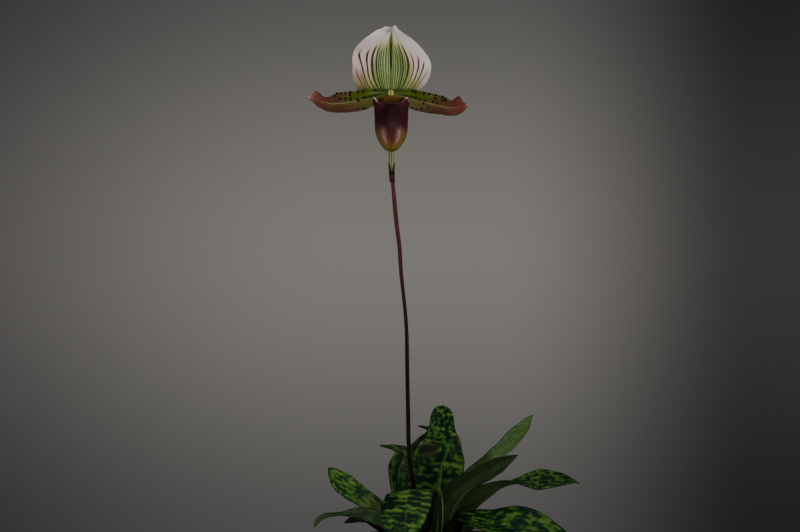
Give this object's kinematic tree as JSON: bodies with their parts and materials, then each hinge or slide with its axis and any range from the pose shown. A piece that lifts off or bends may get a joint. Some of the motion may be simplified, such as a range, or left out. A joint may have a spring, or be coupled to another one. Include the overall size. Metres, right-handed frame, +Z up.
{
  "type": "potted slipper orchid",
  "caption": "Slipper orchid in flower: a striped upright sepal, warty spreading petals and a hollow dark pouch on a tall bare stem over mottled leaves, in a plain round pot of bark.",
  "frame": {"origin": "middle of the pot's underside, on the surface that it stands on", "axes": "+Z up along the pot's axis, -Y the way the flower looks, +X to the right of someone facing the flower"},
  "size_m": [0.1767, 0.1234, 0.422],
  "materials": {
    "pot": "matt injection-moulded plastic, plain, with a banded rim",
    "bark": "dry conifer bark in chunks, rough and fissured",
    "rhizome": "pale green leaf sheaths over a short crown",
    "leaf": "leathery, tessellated in dark blue-green and bright yellow-green, duller and plainer beneath",
    "scape": "fleshy, dark maroon, covered in short fine hairs",
    "ovary": "ribbed, pale yellow-green, finely hairy",
    "bract": "papery sheath, purple-brown at the foot and green above",
    "column": "waxy, red-brown shield with a green middle",
    "petal": "waxy, green at the foot and rose at the tip, with near-black warts",
    "lip": "glossy and waxy, dark maroon over amber at the toe",
    "dorsal_sepal": "white, striped with dark veins over green, maroon at the sides",
    "synsepal": "pale green with darker veins"
  },
  "bodies": {
    "root": {"leaf_back_centre": "leaf", "leaf_left_upright": "leaf", "leaf_back_narrow": "leaf", "leaf_left_broad": "leaf", "leaf_left_hidden": "leaf", "leaf_left_drooping": "leaf", "leaf_left_low": "leaf", "leaf_front": "leaf", "leaf_right_upper": "leaf", "leaf_right_front": "leaf", "leaf_right_twisted": "leaf", "leaf_right_low": "leaf", "leaf_young": "leaf", "leaf_rear_right": "leaf", "pot": "pot", "bark": "bark", "rhizome": "rhizome", "scape": "scape", "ovary": "ovary", "bract": "bract", "column": "column", "petal_left": "petal", "petal_right": "petal", "lip_pouch": "lip", "dorsal_sepal": "dorsal_sepal", "synsepal": "synsepal"}
  },
  "joints": []
}
